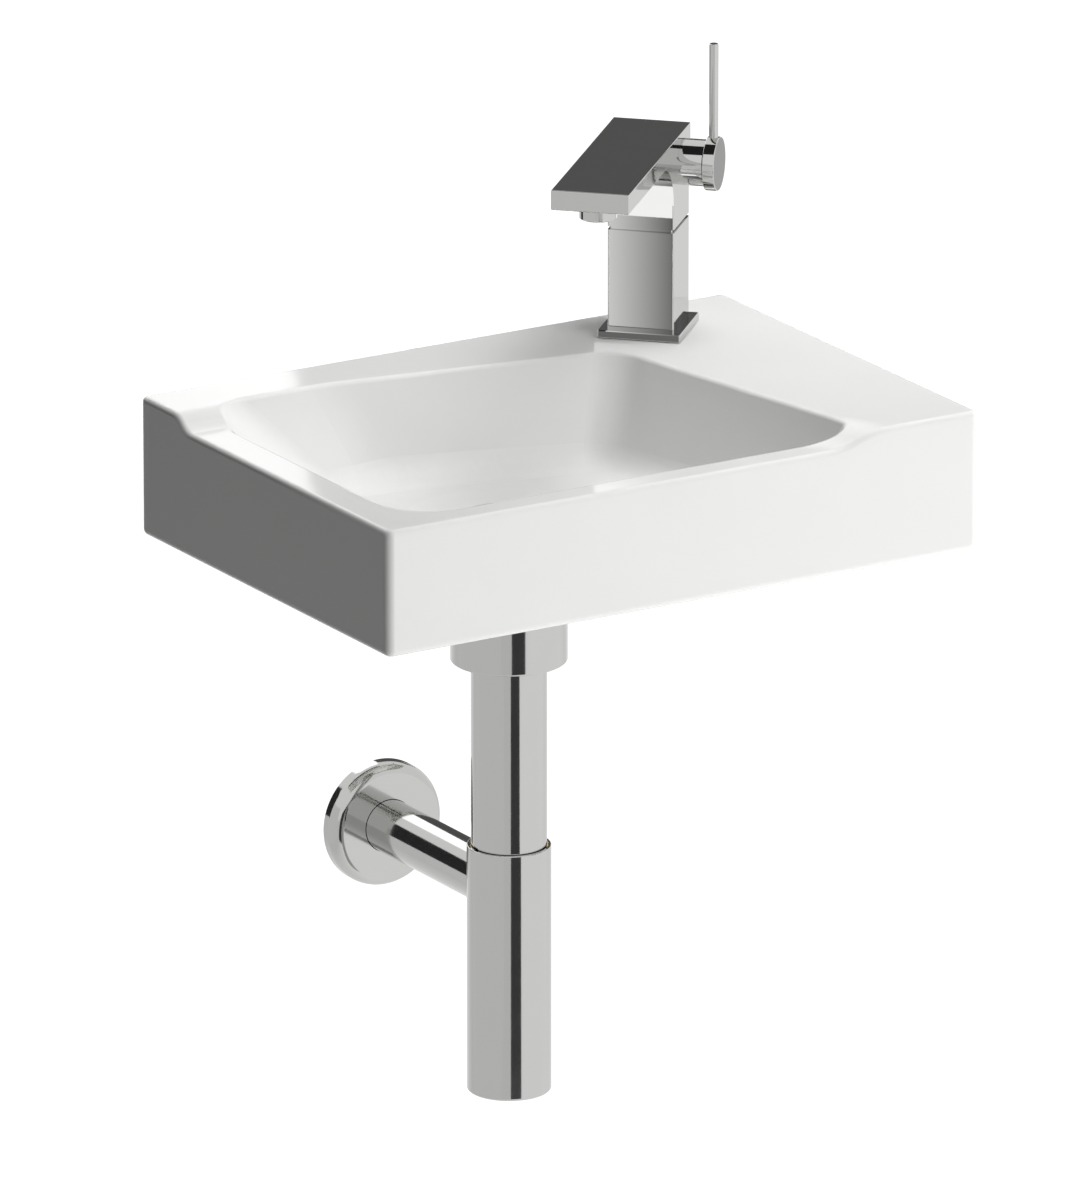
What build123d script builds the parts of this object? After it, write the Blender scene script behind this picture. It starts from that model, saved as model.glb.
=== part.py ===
from build123d import *
from math import atan2, cos, radians, tan
import os

# A wall-hung hand-rinse basin with a mixer tap, a waste, a bottle trap and an outlet pipe.
# Units are millimetres. X runs to the right, Y runs towards the wall, Z runs up.
# The wall plane is Y = 0 and the origin lies midway between the two wall fixings.

# Clearances and the overrun shared by all cutting tools
overrun = 2.0
slip_gap = 0.15
thread_gap = 0.1
running_gap = 0.05
bolt_gap = 0.4

# Basin block
basin_width = 400.0
basin_depth = 280.0
basin_height = 84.3
fixing_height = 40.0
upright_radius = 5.0
edge_round = 3.0
foot_round = 4.0
skirt_wall = 11.0
back_wall = 12.0
deck_wall = 14.0
pocket_corner_radius = 14.0

# Lowered left and front rim, with its soft steps up to the deck
rim_drop = 8.4
left_step_start = 38.0
left_step_run = 20.0
front_step_side = 60.0
front_step_run = 40.0
front_step_radius = 70.0
front_step_setback = 10.0
rim_strip = 55.0

# Bowl outline at deck height, measured from the left side, the wall, the right side and the front
bowl_left_rim = 15.0
bowl_front_rim = 16.0
bowl_back_rim = 36.0
bowl_back_rim_right = 68.0
bowl_bend_from_left = 104.0
bowl_shelf_back = 114.0
bowl_shelf_front = 76.0
bowl_back_left_radius = 34.0
bowl_back_right_radius = 24.0
bowl_front_right_radius = 17.0
bowl_front_right_lip_radius = 8.0
bowl_front_left_radius = 36.0
bowl_bend_radius = 120.0

# Bowl depth and how far each wall leans in down to the floor
bowl_depth = 62.0
bowl_lean_left = 60.0
bowl_lean_back = 17.0
bowl_lean_right = 21.0
bowl_lean_front = 17.0
bowl_lean_bend = 32.0
bowl_floor_round = 19.0
bowl_wall = 10.0
bowl_lip_round = 3.0

# Waste outlet through the bowl floor, in line with the trap
waste_from_left = 161.0
waste_from_wall = 148.0
waste_hole_radius = 23.0
waste_seat_radius = 32.5
waste_seat_depth = 3.2
waste_boss_radius = 34.0
waste_boss_wall = 12.1
dish_radius = 62.0
dish_drop = 2.0

# Waste pieces
waste_flange_radius = 31.5
waste_flange_thickness = 1.8
waste_tail_radius = 20.9
waste_tail_wall = 2.2
waste_bar_width = 3.0
waste_bar_height = 3.5
waste_bar_below = 3.0
waste_hub_radius = 5.0
waste_hub_height = 8.0
waste_hub_hole_radius = 2.5
waste_cover_radius = 30.0
waste_cover_edge = 1.1
waste_cover_crown = 2.4
waste_cover_lift = 2.0
waste_stem_radius = 4.0
waste_seal_thickness = 1.2
waste_cone_height = 6.0
waste_cone_radius = 29.0
waste_cone_lip = 3.0
waste_cone_taper = 3.5
waste_washer_thickness = 1.6
waste_nut_flats = 54.0
waste_nut_height = 9.0

# Bottle trap, heights measured down from the basin's underside and the outlet from the seam
collar_radius = 34.25
collar_bottom = 63.0
collar_height = 30.0
collar_round = 1.2
collar_lip_up = 5.5
collar_lip_thickness = 2.5
sleeve_radius = 22.25
sleeve_wall = 1.2
trap_seam = 176.0
trap_bottom = 327.0
trap_radius = 24.75
trap_wall = 1.6
trap_floor = 3.0
trap_edge_round = 1.6
trap_lid_recess = 1.6
trap_lid_thickness = 7.5
dip_tube_radius = 16.0
dip_tube_wall = 1.0
dip_tube_end = 292.0
dip_flange_radius = 20.4
dip_flange_thickness = 1.5
inlet_seal_thickness = 2.0
lid_seal_section = 1.2
lid_seal_height = 2.0
lid_seal_down = 3.5
plug_radius = 18.0
plug_flange_radius = 20.5
plug_flange_thickness = 3.0
plug_height = 9.0
plug_slot_width = 3.0
plug_slot_depth = 1.6
plug_slot_length = 26.0
plug_seal_thickness = 1.5
trap_top_round = 0.5

# Outlet pipe and wall rosette
outlet_below_seam = 27.5
pipe_radius = 16.0
pipe_wall = 1.5
pipe_past_wall = 25.0
pipe_spigot_radius = 15.9
pipe_cone_length = 1.0
pipe_inside_trap = 19.5
grommet_wall = 1.6
grommet_depth = 1.8
rosette_radius = 38.0
rosette_depth = 12.0
rosette_wall = 1.2
rosette_shoulder = 7.0
rosette_hole_gap = 0.3
rosette_neck_length = 6.0
rosette_ring_wall = 1.5
rosette_ring_depth = 5.0

# Wall fixings
fixing_from_side = 60.0
bolt_radius = 5.0
bolt_thread_radius = 4.8
bolt_length = 100.0
bolt_tip = 9.0
bolt_past_nut = 4.0
bush_wall = 2.0
bush_flange_radius = 15.0
bush_flange_thickness = 2.5
fixing_washer_radius = 12.5
fixing_washer_thickness = 2.0
fixing_nut_flats = 17.0
fixing_nut_height = 8.0

# Tap place and turn on the deck
tap_from_right = 77.4
tap_from_wall = 40.2
tap_turn = 45.0
tap_hole_radius = 17.5

# Tap base, column and head, heights measured up from the deck
base_side = 50.0
base_thickness = 4.4
base_lift = 0.5
base_bore_radius = 16.9
base_corner = 1.0
base_bevel = 0.5
base_seal_inner = 18.4
base_seal_outer = 21.4
base_seal_height = 2.0
column_side = 40.0
column_top = 65.5
column_corner = 1.2
spigot_radius = 16.6
spigot_below_deck = 3.0
inlet_radius = 4.6
inlet_depth = 13.0
inlet_half_spacing = 7.5
inlet_left = 6.5
riser_radius = 2.6
riser_left = 11.5
riser_half_spacing = 5.8
gap_ring_height = 2.0
gap_ring_inset = 1.3
gap_ring_width = 3.0
spout_top = 122.6
spout_thickness = 12.0
spout_width = 46.5
spout_length = 158.0
spout_shift = 2.5
spout_edge = 0.6
cove_radius = 28.0

# Waterway and aerator in the spout
waterway_width = 22.0
waterway_height = 3.0
waterway_roof = 2.5
waterway_back = 3.0
outlet_port_up = 6.0
aerator_from_end = 21.0
aerator_radius = 11.0
aerator_drop = 9.0
aerator_bore_radius = 10.0
aerator_sunk = 5.0
aerator_wall = 1.3
aerator_edge = 0.6
aerator_mesh_thickness = 5.0
aerator_mesh_recess = 1.2
aerator_mesh_hole = 1.5
aerator_mesh_pitch = 3.8
aerator_seal_thickness = 1.2
aerator_seal_width = 2.2

# Cartridge, its neck and the handle, measured to the right from the tap's centre line
handle_axis_up = 104.2
chamber_radius = 13.0
chamber_depth = 28.0
neck_radius = 13.8
neck_wall = 2.0
neck_end = 35.3
neck_edge = 0.4
neck_spigot_length = 9.5
neck_spigot_wall = 1.9
cartridge_radius = 12.5
cartridge_foot_gap = 1.6
cartridge_floor = 2.4
cartridge_nose_radius = 10.6
cartridge_nose_end = 21.8
disc_room_radius = 10.2
disc_radius = 10.0
moving_disc_radius = 8.6
disc_thickness = 2.5
disc_port_radius = 1.8
spindle_radius = 7.0
spindle_end = 27.0
spindle_slot = 6.7
spindle_web_end = 12.3
clamp_ring_start = 22.2
clamp_ring_length = 4.0
clamp_ring_inner = 8.6
foot_seal_width = 1.5
pivot_from_centre = 24.0
pivot_pin_radius = 1.25
stem_radius = 3.0
stem_inner = 8.0
stem_ball_radius = 3.2
stem_end_wall = 1.6
cap_radius = 16.0
cap_start = 35.6
cap_length = 7.2
cap_recess_radius = 14.25
cap_recess_depth = 4.0
cap_edge = 0.5
cap_boss_radius = 6.5
cap_boss_length = 6.6
lug_width = 9.0
lug_inner = 8.0
lever_radius = 2.75
lever_height = 73.0
lever_root = 9.0
lever_end_round = 0.6
grub_radius = 2.0
grub_from_centre = 37.9
grub_access_radius = 2.2
grub_access_start = 10.0
grub_socket_radius = 1.0
grub_socket_depth = 1.5

# Tap fastening under the deck
stud_radius = 4.0
stud_right = 9.0
stud_in_body = 9.0
stud_below_nut = 18.0
horseshoe_radius = 24.0
horseshoe_notch = 29.0
horseshoe_notch_end = 1.0
rubber_horseshoe_thickness = 3.0
steel_horseshoe_thickness = 2.0
tap_nut_flats = 13.0
tap_nut_height = 6.5

# Heights and places that follow from the sizes above
deck_z = basin_height - fixing_height
foot_z = -fixing_height
rim_z = deck_z - rim_drop
floor_z = deck_z - bowl_depth
left_x = -basin_width / 2
right_x = basin_width / 2
front_y = -basin_depth
waste_x = left_x + waste_from_left
waste_y = -waste_from_wall
dish_z = floor_z - dish_drop
seat_z = dish_z - waste_seat_depth
flange_low = seat_z + waste_seal_thickness
flange_top = flange_low + waste_flange_thickness
boss_foot_z = seat_z - waste_boss_wall
cone_low = boss_foot_z - waste_cone_height
waste_washer_low = cone_low - waste_washer_thickness
waste_nut_low = waste_washer_low - waste_nut_height
tail_bore = waste_tail_radius - waste_tail_wall
collar_low = foot_z - collar_bottom
lip_low = collar_low + collar_lip_up
lip_top = lip_low + collar_lip_thickness
dip_flange_top = lip_top + dip_flange_thickness
tail_end = dip_flange_top + inlet_seal_thickness
seam_z = foot_z - trap_seam
trap_low = foot_z - trap_bottom
trap_bore = trap_radius - trap_wall
lid_top = seam_z - trap_lid_recess
lid_low = lid_top - trap_lid_thickness
lid_seal_top = lid_top - lid_seal_down
plug_seat = trap_low + plug_flange_thickness + plug_seal_thickness
outlet_z = seam_z - outlet_below_seam
fixing_x = right_x - fixing_from_side
bush_low = -back_wall - bush_flange_thickness
fixing_washer_low = bush_low - fixing_washer_thickness
fixing_nut_low = fixing_washer_low - fixing_nut_height
bolt_low = fixing_nut_low - bolt_past_nut
bush_hole_radius = bolt_radius + bolt_gap + bush_wall
tap_x = right_x - tap_from_right
tap_y = -tap_from_wall
base_top = base_lift + base_thickness
head_bottom = column_top + gap_ring_height
spout_bottom = spout_top - spout_thickness
half_column = column_side / 2
half_spout = spout_width / 2
spout_front = half_column - spout_length
waterway_top = spout_top - waterway_roof
aerator_y = spout_front + aerator_from_end
aerator_low = spout_bottom - aerator_drop
aerator_skirt_top = spout_bottom + aerator_sunk
chamber_end = half_column - chamber_depth
spigot_end = half_column - neck_spigot_length
cartridge_foot = chamber_end + cartridge_foot_gap
fixed_disc_start = cartridge_foot + cartridge_floor
moving_disc_start = fixed_disc_start + disc_thickness + running_gap
spindle_start = moving_disc_start + disc_thickness + running_gap
cap_end = cap_start + cap_length
cap_wall_start = cap_start + cap_recess_depth
lever_from_centre = cap_start + cap_length / 2
rubber_low = -deck_wall - rubber_horseshoe_thickness
steel_low = rubber_low - steel_horseshoe_thickness
tap_nut_low = steel_low - tap_nut_height
low_align = (Align.CENTER, Align.CENTER, Align.MIN)


def rod(radius, low, high):
    """A round bar on the Z axis between two heights."""
    return Pos(0, 0, low) * Cylinder(radius, high - low, align=low_align)


def ring(outer, inner, low, high):
    """A plain tube on the Z axis between two heights."""
    return rod(outer, low, high) - rod(inner, low - overrun, high + overrun)


def hexagon_nut(flats, bore, low, high):
    """A chamfered hexagon nut on the Z axis between two heights."""
    corner_radius = flats / 2 / cos(radians(180 / 6))
    face = RegularPolygon(radius=corner_radius, side_count=6)
    nut = Pos(0, 0, low) * extrude(face, high - low)
    lean = (corner_radius - flats / 2) / tan(radians(60))
    cut = Plane.XZ * make_face(Polyline(
        (flats / 2, high), (corner_radius + overrun, high),
        (corner_radius + overrun, high - lean * (corner_radius + overrun - flats / 2)
         / (corner_radius - flats / 2)), close=True))
    nut -= revolve(cut, Axis.Z)
    return nut - rod(bore, low - overrun, high + overrun)


def turned(points):
    """A solid turned about the Z axis from straight-sided (radius, height) points."""
    return revolve(Plane.XZ * make_face(Polyline(*points, close=True)), Axis.Z)


def along_x(shape):
    """Lays a shape built on the Z axis along X."""
    return Rotation(0, 90, 0) * shape


def along_y(shape):
    """Lays a shape built on the Z axis along Y."""
    return Rotation(-90, 0, 0) * shape


def on_tap(shape):
    """Places a shape built about the tap's centre line, with its spout towards -Y."""
    return Pos(tap_x, tap_y, deck_z) * Rotation(0, 0, -tap_turn) * shape


def on_handle(shape):
    """Places a shape built along the handle's axis, which is X through the tap's centre."""
    return on_tap(Pos(0, 0, handle_axis_up) * shape)


def on_waste(shape):
    """Places a shape built on the Z axis onto the line of the waste and the trap."""
    return Pos(waste_x, waste_y, 0) * shape


def write(name, shape):
    """Writes one piece, or one group of like pieces, under its own name."""
    export_step(shape, "parts/" + name + ".step")


# Basin

def bowl_face(grow, lean_share, height):
    """The bowl's outline at one height: grow widens it, lean_share moves it down the walls."""
    left = left_x + bowl_left_rim + bowl_lean_left * lean_share - grow
    right_back = right_x - bowl_shelf_back - bowl_lean_right * lean_share + grow
    right_front = right_x - bowl_shelf_front - bowl_lean_right * lean_share + grow
    back_left = -bowl_back_rim - bowl_lean_back * lean_share + grow
    back_right = -bowl_back_rim_right - bowl_lean_back * lean_share + grow
    front = front_y + bowl_front_rim + bowl_lean_front * lean_share - grow
    bend = left_x + bowl_bend_from_left + bowl_lean_bend * lean_share
    half_bend = atan2(back_left - back_right, right_back - bend) / 2
    straight = bend - left - bowl_back_left_radius - overrun
    bend_radius = min(bowl_bend_radius, straight / tan(half_bend))
    tight = bowl_front_right_radius - bowl_front_right_lip_radius
    front_right_radius = bowl_front_right_lip_radius + tight * lean_share + grow
    corners = [((left, back_left), bowl_back_left_radius), ((bend, back_left), bend_radius),
               ((right_back, back_right), bowl_back_right_radius),
               ((right_front, front), front_right_radius),
               ((left, front), bowl_front_left_radius)]
    face = make_face(Polyline(*[corner for corner, radius in corners], close=True))
    for corner, radius in corners:
        nearest = face.vertices().sort_by_distance(Vector(corner[0], corner[1], 0))[0]
        face = fillet(nearest, radius)
    return Pos(0, 0, height) * face


def bowl_solid(grow, depth):
    """The bowl's hollow, or with grow the outside of its shell."""
    top = bowl_face(grow, 0, deck_z)
    low = bowl_face(grow, 1, deck_z - depth)
    body = loft([low, top], ruled=True)
    return fillet(body.edges().group_by(Axis.Z)[0], bowl_floor_round + grow)


def step_profile(low_end, run, high, low):
    """A soft S from a low level up to a high one, as two equal arcs between level tangents."""
    middle = (low_end + run / 2, (high + low) / 2)
    first = TangentArc((low_end, low), middle, tangent=(1, 0))
    second = TangentArc((low_end + run, high), middle, tangent=(-1, 0))
    return [first, second]


def left_rim_cut():
    """Lowers the left rim, up to the soft step in front of the back deck."""
    low_end = -(left_step_start + left_step_run)
    high_end = -left_step_start
    start = front_y - overrun
    edges = step_profile(low_end, left_step_run, deck_z, rim_z)
    edges += [Line((start, rim_z), (low_end, rim_z)),
              Line((high_end, deck_z), (high_end, deck_z + overrun)),
              Line((high_end, deck_z + overrun), (start, deck_z + overrun)),
              Line((start, deck_z + overrun), (start, rim_z))]
    face = Plane.YZ * make_face(Curve() + edges)
    return Pos(left_x - overrun, 0, 0) * extrude(face, rim_strip + overrun)


def front_rim_cut():
    """Lowers the front rim, up to a step that curves round the bowl's front right corner."""
    centre_x = right_x - front_step_side - front_step_radius
    low_end = front_step_radius - front_step_run
    edges = step_profile(low_end, front_step_run, deck_z, rim_z)
    edges += [Line((0, rim_z), (low_end, rim_z)),
              Line((front_step_radius, deck_z), (front_step_radius, deck_z + overrun)),
              Line((front_step_radius, deck_z + overrun), (0, deck_z + overrun)),
              Line((0, deck_z + overrun), (0, rim_z))]
    sweep = revolve(Plane.XZ * make_face(Curve() + edges), Axis.Z)
    sweep = Pos(centre_x, front_y - front_step_setback, 0) * sweep
    length = centre_x - left_x + overrun
    strip = Box(length, rim_strip + overrun, rim_drop + overrun,
                align=(Align.MIN, Align.MIN, Align.MIN))
    return sweep + Pos(left_x - overrun, front_y - overrun, rim_z) * strip


def underside_pocket():
    """The open space under the basin, between its skirt and the shell of the bowl."""
    width = basin_width - 2 * skirt_wall
    depth = basin_depth - skirt_wall - back_wall
    height = basin_height - deck_wall
    room = Box(width, depth, height + overrun, align=(Align.CENTER, Align.MAX, Align.MIN))
    room = Pos(0, -back_wall, foot_z - overrun) * room
    room = fillet(room.edges().filter_by(Axis.Z), pocket_corner_radius)
    shell = bowl_solid(bowl_wall, bowl_depth + bowl_wall)
    boss = on_waste(rod(waste_boss_radius, boss_foot_z, floor_z))
    return room - shell - boss


def inside(point):
    """Whether a point lies clear of the block's four upright sides."""
    edge = upright_radius / 2
    return abs(point.X) < right_x - edge and front_y + edge < point.Y < -edge


def top_edges(basin):
    """The edges from the lowered rim upwards, apart from the tap hole."""
    high = [edge for edge in basin.edges() if edge.bounding_box().min.Z > rim_z - slip_gap]
    hole = Vector(tap_x, tap_y, deck_z)
    return [edge for edge in high if (edge @ 0 - hole).length > tap_hole_radius + slip_gap]


def round_top(basin):
    """Rounds the lip of the bowl, then the outside of the rim."""
    lip = [edge for edge in top_edges(basin) if all(inside(edge @ share) for share in (0, 0.5, 1))]
    basin = fillet(lip, bowl_lip_round)
    rim = [edge for edge in top_edges(basin) if not inside(edge @ 0.5)]
    return fillet(rim, edge_round)


def make_basin():
    """The whole ceramic body, open underneath."""
    block = Box(basin_width, basin_depth, basin_height,
                align=(Align.CENTER, Align.MAX, Align.MIN))
    block = Pos(0, 0, foot_z) * block
    block = fillet(block.edges().filter_by(Axis.Z), upright_radius)
    block = fillet(block.edges().group_by(Axis.Z)[0], foot_round)
    basin = block - left_rim_cut() - front_rim_cut() - bowl_solid(0, bowl_depth)
    basin -= underside_pocket()
    dish = turned([(0, dish_z), (waste_seat_radius, dish_z), (dish_radius, floor_z),
                   (0, floor_z)])
    seat = rod(waste_seat_radius, seat_z, floor_z)
    hole = rod(waste_hole_radius, foot_z - overrun, floor_z)
    basin -= on_waste(dish + seat + hole)
    basin -= Pos(tap_x, tap_y, 0) * rod(tap_hole_radius, floor_z, deck_z + overrun)
    for side in (-1, 1):
        bolt_hole = along_y(rod(bush_hole_radius, -back_wall - overrun, overrun))
        basin -= Pos(side * fixing_x, 0, 0) * bolt_hole
    return round_top(basin)


# Waste

def make_waste_body():
    """Flange, strainer cross and threaded tail of the waste."""
    body = ring(waste_flange_radius, tail_bore, flange_low, flange_top)
    body += ring(waste_tail_radius, tail_bore, tail_end, flange_top)
    bar = Box(2 * tail_bore + waste_tail_wall, waste_bar_width, waste_bar_height,
              align=(Align.CENTER, Align.CENTER, Align.MAX))
    bar = Pos(0, 0, flange_top - waste_bar_below) * bar
    body += bar + Rotation(0, 0, 90) * bar
    hub_top = flange_top - waste_bar_below
    body += rod(waste_hub_radius, hub_top - waste_hub_height, hub_top)
    return body - rod(waste_hub_hole_radius, hub_top - waste_hub_height - overrun, hub_top)


def make_waste_cover():
    """A fixed domed cover that screws into the strainer cross and leaves the waste open."""
    low = flange_top + waste_cover_lift
    edge = low + waste_cover_edge
    crown = edge + waste_cover_crown
    dome = Curve() + [Line((0, low), (waste_cover_radius, low)),
                      Line((waste_cover_radius, low), (waste_cover_radius, edge)),
                      TangentArc((0, crown), (waste_cover_radius, edge), tangent=(1, 0)),
                      Line((0, crown), (0, low))]
    cover = revolve(Plane.XZ * make_face(dome), Axis.Z)
    hub_top = flange_top - waste_bar_below
    cover += rod(waste_stem_radius, hub_top, low)
    return cover + rod(waste_hub_hole_radius - thread_gap, hub_top - waste_hub_height, low)


def make_waste_upper_seal():
    return ring(waste_flange_radius, waste_tail_radius + slip_gap, seat_z, flange_low)


def make_waste_lower_seal():
    """A tapered washer that centres the tail in the ceramic hole from below."""
    inner = waste_tail_radius + slip_gap
    lip_radius = waste_hole_radius - slip_gap
    return turned([(inner, cone_low), (waste_cone_radius - waste_cone_taper, cone_low),
                   (waste_cone_radius, boss_foot_z), (lip_radius, boss_foot_z),
                   (lip_radius, boss_foot_z + waste_cone_lip),
                   (inner, boss_foot_z + waste_cone_lip)])


def make_waste_washer():
    outer = waste_cone_radius - waste_cone_taper
    return ring(outer, waste_tail_radius + slip_gap, waste_washer_low, cone_low)


def make_waste_nut():
    return hexagon_nut(waste_nut_flats, waste_tail_radius + thread_gap,
                       waste_nut_low, waste_washer_low)


# Bottle trap

def make_trap_collar():
    """The round union nut that clamps the dip tube's flange against the waste tail."""
    collar = rod(collar_radius, collar_low, collar_low + collar_height)
    collar = fillet(collar.edges().filter_by(GeomType.CIRCLE), collar_round)
    collar -= rod(waste_tail_radius + thread_gap, lip_top, collar_low + collar_height + overrun)
    collar -= rod(dip_tube_radius + slip_gap, lip_low, lip_top + overrun)
    return collar - rod(sleeve_radius + slip_gap, collar_low - overrun, lip_low)


def make_trap_inlet_seal():
    return ring(dip_flange_radius, tail_bore, dip_flange_top, tail_end)


def make_dip_tube():
    tube_low = foot_z - dip_tube_end
    bore = dip_tube_radius - dip_tube_wall
    tube = ring(dip_tube_radius, bore, tube_low, dip_flange_top)
    return tube + ring(dip_flange_radius, bore, lip_top, dip_flange_top)


def make_sleeve_tube():
    return ring(sleeve_radius, sleeve_radius - sleeve_wall, lid_top, lip_low)


def make_trap_body():
    """The bottle of the trap, with its outlet hole in the side and its plug hole below."""
    body = rod(trap_radius, trap_low, seam_z)
    body = fillet(body.edges().group_by(Axis.Z)[0], trap_edge_round)
    body = fillet(body.edges().group_by(Axis.Z)[-1], trap_top_round)
    body -= rod(trap_bore, plug_seat + trap_floor, seam_z + overrun)
    body -= rod(plug_radius + thread_gap, plug_seat, plug_seat + trap_floor + overrun)
    body -= rod(plug_flange_radius + slip_gap, trap_low - overrun, plug_seat)
    hole = along_y(rod(pipe_radius + grommet_wall + slip_gap, 0, trap_radius + overrun))
    return body - Pos(0, 0, outlet_z) * hole


def make_trap_lid():
    """Closes the bottle round the dip tube, with a seal groove outside and one inside."""
    lid = ring(trap_bore - slip_gap, dip_tube_radius + slip_gap, lid_low, lid_top)
    outer = trap_bore - slip_gap - lid_seal_section
    inner = dip_tube_radius + slip_gap + lid_seal_section
    low = lid_seal_top - lid_seal_height - slip_gap
    lid -= ring(trap_radius, outer, low, lid_seal_top)
    return lid - ring(inner, dip_tube_radius - dip_tube_wall, low, lid_seal_top)


def make_lid_seal():
    outer = trap_bore - running_gap
    return ring(outer, trap_bore - lid_seal_section, lid_seal_top - lid_seal_height, lid_seal_top)


def make_dip_tube_seal():
    inner = dip_tube_radius + running_gap
    return ring(dip_tube_radius + lid_seal_section, inner,
                lid_seal_top - lid_seal_height, lid_seal_top)


def make_cleaning_plug():
    """A flush screw plug in the foot of the bottle, with a coin slot."""
    plug = rod(plug_flange_radius, trap_low, trap_low + plug_flange_thickness)
    plug += rod(plug_radius, trap_low, plug_seat + plug_height)
    slot = Box(plug_slot_length, plug_slot_width, plug_slot_depth + overrun,
               align=(Align.CENTER, Align.CENTER, Align.MAX))
    return plug - Pos(0, 0, trap_low + plug_slot_depth) * slot


def make_plug_seal():
    return ring(plug_flange_radius, plug_radius + slip_gap,
                trap_low + plug_flange_thickness, plug_seat)


# Outlet pipe and rosette

def make_outlet_pipe():
    """The pipe from the bottle to the wall, drawn in a little where it enters the wall's socket."""
    bore = pipe_radius - pipe_wall
    wall = waste_from_wall
    end = waste_from_wall + pipe_past_wall
    pipe = turned([(bore, pipe_inside_trap), (pipe_radius, pipe_inside_trap),
                   (pipe_radius, wall - pipe_cone_length), (pipe_spigot_radius, wall),
                   (pipe_spigot_radius, end), (bore, end)])
    return Pos(0, 0, outlet_z) * along_y(pipe)


def make_outlet_grommet():
    """The rubber sleeve round the pipe where it enters the bottle's curved wall."""
    outer = pipe_radius + grommet_wall
    sleeve = along_y(ring(outer, pipe_radius + running_gap, 0, trap_radius + overrun))
    half = 2 * pipe_radius
    shell = ring(trap_radius - slip_gap, trap_bore - grommet_depth,
                 outlet_z - half, outlet_z + half)
    return Pos(0, 0, outlet_z) * sleeve & shell


def rosette_shape(radius, shoulder, depth, low):
    """A dish with a rounded shoulder, built on Z with its wall side at the given height."""
    side = depth - shoulder
    outline = Curve() + [Line((0, low), (radius, low)), Line((radius, low), (radius, side)),
                         TangentArc((radius, side), (radius - shoulder, depth), tangent=(0, 1)),
                         Line((radius - shoulder, depth), (0, depth)),
                         Line((0, depth), (0, low))]
    return revolve(Plane.XZ * make_face(outline), Axis.Z)


def on_wall_side(shape):
    """Turns a shape built up from the wall on Z so that it stands out from the wall at the pipe."""
    return Pos(waste_x, 0, outlet_z) * Rotation(90, 0, 0) * shape


def make_rosette():
    dish = rosette_shape(rosette_radius, rosette_shoulder, rosette_depth, 0)
    dish -= rosette_shape(rosette_radius - rosette_wall, rosette_shoulder - rosette_wall,
                          rosette_depth - rosette_wall, -overrun)
    neck_bore = pipe_radius + rosette_ring_wall + slip_gap
    neck_low = rosette_depth - rosette_wall - rosette_neck_length
    dish += ring(neck_bore + rosette_wall, neck_bore, neck_low, rosette_depth - rosette_wall)
    return on_wall_side(dish - rod(pipe_radius + rosette_hole_gap, -overrun,
                                   rosette_depth + overrun))


def make_rosette_ring():
    top = rosette_depth - rosette_wall
    return on_wall_side(ring(pipe_radius + rosette_ring_wall, pipe_radius + running_gap,
                             top - rosette_ring_depth, top))


# Wall fixings, built on Z as if the wall were up and laid along Y

def at_fixings(shape):
    """The same piece at both wall fixings."""
    piece = along_y(shape)
    return Compound(children=[Pos(side * fixing_x, 0, 0) * piece for side in (-1, 1)])


def make_hanger_bolts():
    """Threaded rods, each with a thicker, pointed part for the wall."""
    end = bolt_low + bolt_length
    return at_fixings(turned([(0, bolt_low), (bolt_thread_radius, bolt_low),
                              (bolt_thread_radius, 0), (bolt_radius, 0),
                              (bolt_radius, end - bolt_tip), (0, end)]))


def make_fixing_bushes():
    bush = ring(bush_hole_radius - slip_gap, bolt_radius + bolt_gap, bush_low, -slip_gap)
    return at_fixings(bush + ring(bush_flange_radius, bolt_radius + bolt_gap,
                                  bush_low, -back_wall))


def make_fixing_washers():
    return at_fixings(ring(fixing_washer_radius, bolt_radius + bolt_gap,
                           fixing_washer_low, bush_low))


def make_fixing_nuts():
    nut = hexagon_nut(fixing_nut_flats, bolt_thread_radius + thread_gap,
                      -fixing_washer_low, -fixing_nut_low)
    return at_fixings(Rotation(180, 0, 0) * nut)


# Tap base and column

def square_bar(side, corner, low, high):
    """An upright square bar with slightly rounded corners."""
    bar = Pos(0, 0, low) * Box(side, side, high - low, align=low_align)
    return fillet(bar.edges().filter_by(Axis.Z), corner)


def make_tap_base_plate():
    plate = square_bar(base_side, base_corner, base_lift, base_top)
    plate = chamfer(plate.edges().group_by(Axis.Z)[-1], base_bevel)
    plate -= rod(base_bore_radius, 0, base_top + overrun)
    groove = ring(base_seal_outer + slip_gap, base_seal_inner - slip_gap, 0, base_seal_height)
    return on_tap(plate - groove)


def make_tap_base_seal():
    return on_tap(ring(base_seal_outer, base_seal_inner, 0, base_seal_height))


def make_tap_column():
    """The square column, with its two hose inlets, two risers and the hole for the stud."""
    column = square_bar(column_side, column_corner, base_top, column_top)
    column += rod(spigot_radius, -spigot_below_deck, base_top)
    for side in (-1, 1):
        inlet = rod(inlet_radius, -spigot_below_deck - overrun, inlet_depth - spigot_below_deck)
        column -= Pos(-inlet_left, side * inlet_half_spacing, 0) * inlet
        riser = rod(riser_radius, inlet_depth - spigot_below_deck - riser_radius,
                    column_top + overrun)
        column -= Pos(-riser_left, side * riser_half_spacing, 0) * riser
    stud_hole = rod(stud_radius + thread_gap, -spigot_below_deck - overrun,
                    stud_in_body - spigot_below_deck)
    return on_tap(column - Pos(stud_right, 0, 0) * stud_hole)


def make_tap_gap_ring():
    """The set-back square ring that leaves a shadow line between column and head."""
    side = column_side - 2 * gap_ring_inset
    frame = square_bar(side, column_corner, column_top, head_bottom)
    hollow = side - 2 * gap_ring_width
    return on_tap(frame - Pos(0, 0, column_top - overrun) * Box(
        hollow, hollow, gap_ring_height + 2 * overrun, align=low_align))


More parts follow.
